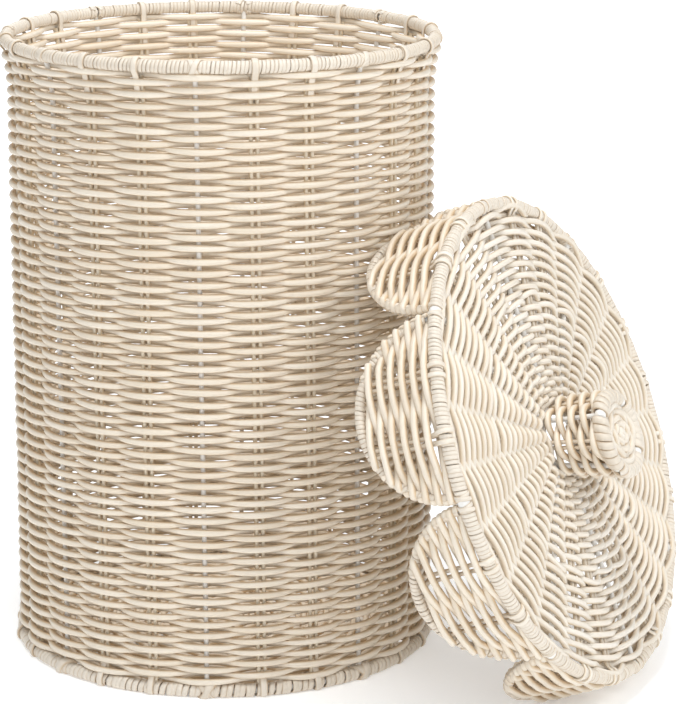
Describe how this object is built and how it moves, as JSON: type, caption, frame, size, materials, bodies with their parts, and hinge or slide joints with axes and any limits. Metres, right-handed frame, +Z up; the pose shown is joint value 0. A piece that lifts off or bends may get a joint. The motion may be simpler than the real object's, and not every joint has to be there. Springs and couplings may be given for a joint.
{
  "type": "laundry basket",
  "caption": "Round woven laundry basket in cream rattan over a steel frame, with a loose lid whose scalloped petals hang outside the rim and a woven knob.",
  "frame": {"origin": "centre of the basket's flat underside, on the floor", "axes": "+Z up along the basket's axis, +X towards the lid that leans on the basket"},
  "size_m": [0.5566, 0.3984, 0.5137],
  "materials": {
    "rattan_weave": "satin cream plastic rattan, round strand",
    "rattan_binding": "satin cream plastic rattan, wrapped tightly",
    "powder_coated_steel": "white powder coat"
  },
  "bodies": {
    "basket": {"basket_top_ring": "powder_coated_steel", "basket_base_ring": "powder_coated_steel", "basket_upright_1": "powder_coated_steel", "basket_upright_2": "powder_coated_steel", "basket_upright_3": "powder_coated_steel", "basket_upright_4": "powder_coated_steel", "basket_upright_5": "powder_coated_steel", "basket_upright_6": "powder_coated_steel", "basket_upright_7": "powder_coated_steel", "basket_upright_8": "powder_coated_steel", "base_cross_frame": "powder_coated_steel", "base_weave": "rattan_weave", "side_weave": "rattan_weave", "rim_binding": "rattan_binding", "base_binding": "rattan_binding"},
    "lid": {"lid_ring": "powder_coated_steel", "lid_spoke_1": "powder_coated_steel", "lid_spoke_2": "powder_coated_steel", "lid_spoke_3": "powder_coated_steel", "lid_spoke_4": "powder_coated_steel", "lid_spoke_5": "powder_coated_steel", "lid_spoke_6": "powder_coated_steel", "lid_spoke_7": "powder_coated_steel", "lid_spoke_8": "powder_coated_steel", "lid_top_weave": "rattan_weave", "lid_rim_binding": "rattan_binding", "petal_frame_1": "powder_coated_steel", "petal_binding_1": "rattan_binding", "petal_weave_1": "rattan_weave", "petal_frame_2": "powder_coated_steel", "petal_binding_2": "rattan_binding", "petal_weave_2": "rattan_weave", "petal_frame_3": "powder_coated_steel", "petal_binding_3": "rattan_binding", "petal_weave_3": "rattan_weave", "petal_frame_4": "powder_coated_steel", "petal_binding_4": "rattan_binding", "petal_weave_4": "rattan_weave", "petal_frame_5": "powder_coated_steel", "petal_binding_5": "rattan_binding", "petal_weave_5": "rattan_weave", "petal_frame_6": "powder_coated_steel", "petal_binding_6": "rattan_binding", "petal_weave_6": "rattan_weave", "petal_frame_7": "powder_coated_steel", "petal_binding_7": "rattan_binding", "petal_weave_7": "rattan_weave", "petal_frame_8": "powder_coated_steel", "petal_binding_8": "rattan_binding", "petal_weave_8": "rattan_weave", "knob_base_ring": "powder_coated_steel", "knob_end_ring": "powder_coated_steel", "knob_post_1": "powder_coated_steel", "knob_post_2": "powder_coated_steel", "knob_post_3": "powder_coated_steel", "knob_post_4": "powder_coated_steel", "knob_side_weave": "rattan_weave", "knob_rim_binding": "rattan_binding", "knob_top_weave": "rattan_weave"}
  },
  "joints": [
    {"name": "lid_pull", "type": "slide", "parent": "basket", "child": "lid", "axis": [0.9336, 0, 0.3584], "range_m": [0, 0.4]}
  ]
}
